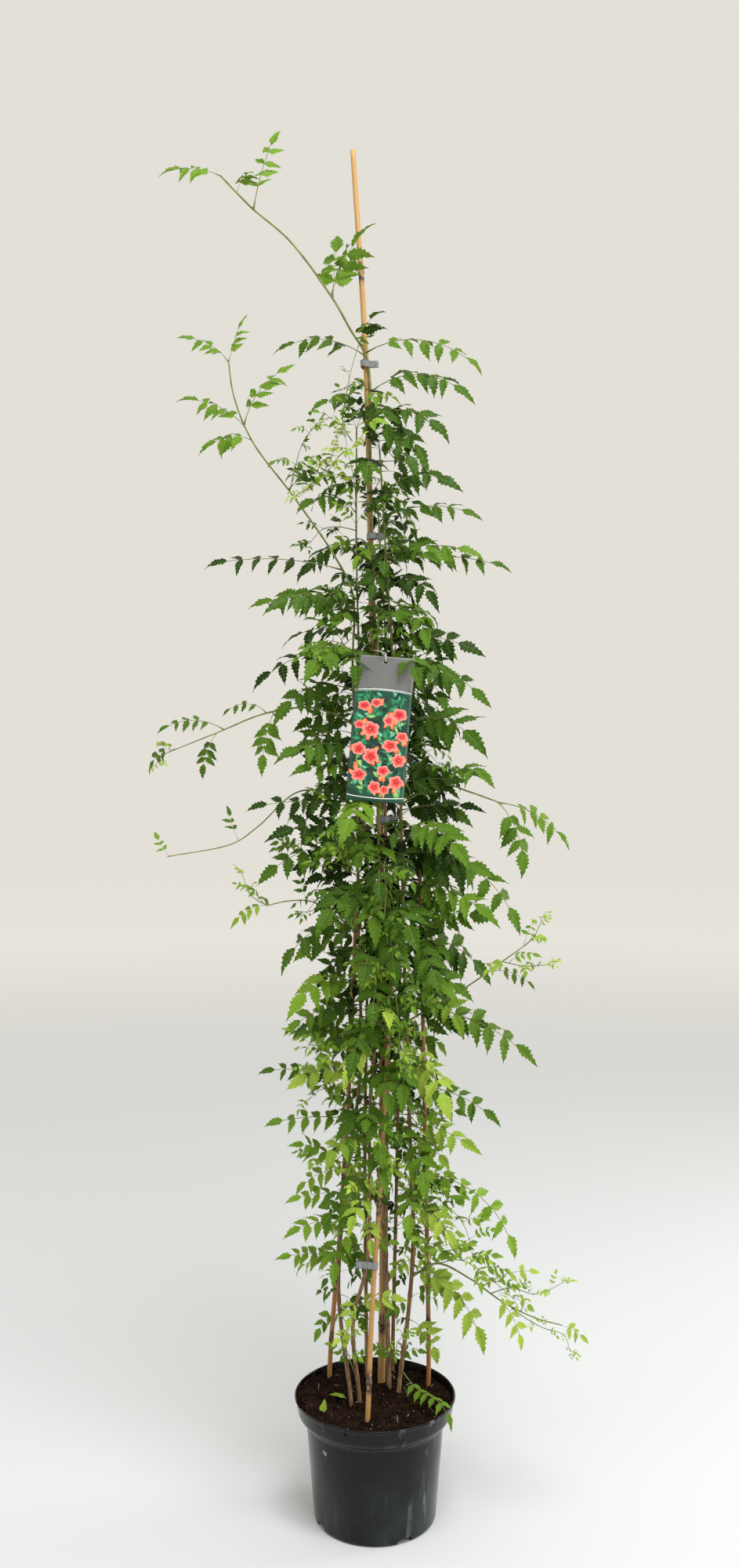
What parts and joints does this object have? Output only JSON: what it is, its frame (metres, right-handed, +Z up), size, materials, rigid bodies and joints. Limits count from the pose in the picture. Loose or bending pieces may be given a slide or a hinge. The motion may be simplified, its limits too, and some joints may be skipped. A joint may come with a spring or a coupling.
{
  "type": "trumpet vine in a pot",
  "caption": "Climbing vine with pinnate toothed leaves, trained up bamboo canes in a round black nursery pot of soil, with plastic ties and a hanging picture label.",
  "frame": {"origin": "centre of the pot's flat underside", "axes": "+Z up along the pot's axis, -Y towards the front, where the picture label hangs"},
  "size_m": [0.7646, 0.4151, 2.4224],
  "materials": {
    "pot": "black moulded plastic with a dusty sheen",
    "soil": "moist dark peat and bark compost",
    "bamboo": "tan bamboo with dark node rings",
    "foliage": "green leaves on green to woody brown stems",
    "tie": "grey plastic tape",
    "label": "printed plastic card",
    "loop": "white plastic"
  },
  "bodies": {
    "root": {"pot": "pot", "soil": "soil", "cane_main": "bamboo", "cane_left": "bamboo", "cane_right": "bamboo", "cane_front": "bamboo", "stem_leader": "foliage", "stem_left": "foliage", "stem_front": "foliage", "stem_right": "foliage", "stem_back": "foliage", "stem_rear_left": "foliage", "tie_foot": "tie", "tie_middle": "tie", "tie_upper": "tie", "tie_high": "tie", "tie_top": "tie", "label": "label", "label_loop": "loop", "fallen_leaflet_left": "foliage", "fallen_leaflet_middle": "foliage"}
  },
  "joints": []
}
